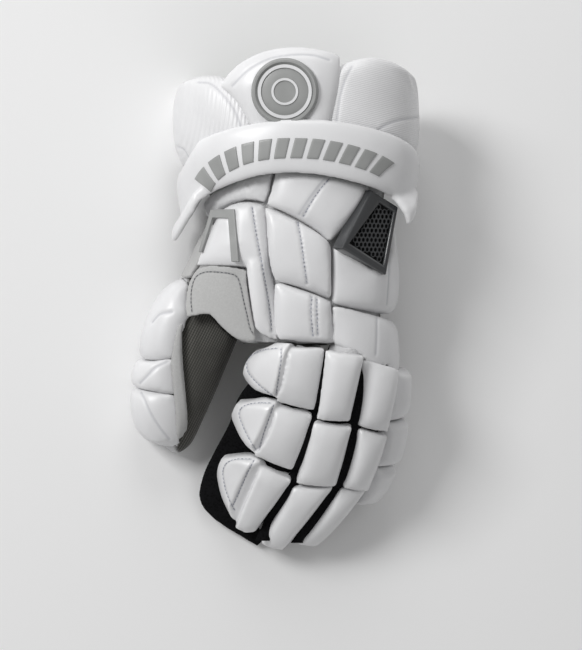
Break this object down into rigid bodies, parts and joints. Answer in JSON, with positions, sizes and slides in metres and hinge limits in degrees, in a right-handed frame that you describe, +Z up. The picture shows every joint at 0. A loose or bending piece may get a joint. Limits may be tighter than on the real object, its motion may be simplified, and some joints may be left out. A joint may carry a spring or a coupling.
{
  "type": "lacrosse glove",
  "caption": "Left-hand lacrosse glove with padded leather rolls on the back and fingers, a flared padded cuff and a soft palm.",
  "frame": {"origin": "middle of the underside of the glove as it lies palm down", "axes": "+X toward the little finger, +Y toward the cuff, +Z up, away from the surface it lies on"},
  "size_m": [0.179, 0.301, 0.0932],
  "materials": {
    "leather": "white grained leather",
    "suede": "light grey suede",
    "fabric": "dark grey woven fabric",
    "mesh": "black knitted mesh",
    "plastic": "dark grey moulded",
    "rubber": "grey moulded",
    "palm": "grey palm leather",
    "lining": "green lining cloth"
  },
  "bodies": {
    "root": {"back_pad_outer": "leather", "back_roll_middle": "leather", "back_roll_upper": "leather", "chevron_inlay": "rubber", "cuff_band": "leather", "cuff_disc": "rubber", "cuff_lining": "lining", "cuff_pad_centre": "leather", "cuff_pad_outer": "leather", "cuff_pad_thumb": "leather", "hand_shell": "fabric", "knuckle_inner": "leather", "knuckle_outer": "leather", "palm_bridge": "palm", "palm_heel": "palm", "palm_main": "palm", "palm_wrist_pad": "leather", "radial_pad": "leather", "roll_index_1": "leather", "roll_index_2": "leather", "roll_index_3": "leather", "roll_middle_1": "leather", "roll_middle_2": "leather", "roll_middle_3": "leather", "roll_pinky_1": "leather", "roll_pinky_2": "leather", "roll_pinky_3": "leather", "roll_ring_1": "leather", "roll_ring_2": "leather", "roll_ring_3": "leather", "sleeve_index": "mesh", "sleeve_middle": "mesh", "sleeve_pinky": "mesh", "sleeve_ring": "mesh", "sleeve_thumb": "fabric", "strap_tab": "mesh", "thumb_cap": "leather", "thumb_pad_middle": "leather", "thumb_pad_upper": "leather", "thumb_strap": "suede", "thumb_welt": "suede", "tip_patch_index": "palm", "tip_patch_middle": "palm", "tip_patch_pinky": "palm", "tip_patch_ring": "palm", "vent_grille": "plastic", "web_patch": "suede", "wrist_elastic": "mesh", "wrist_gusset": "leather"}
  },
  "joints": []
}
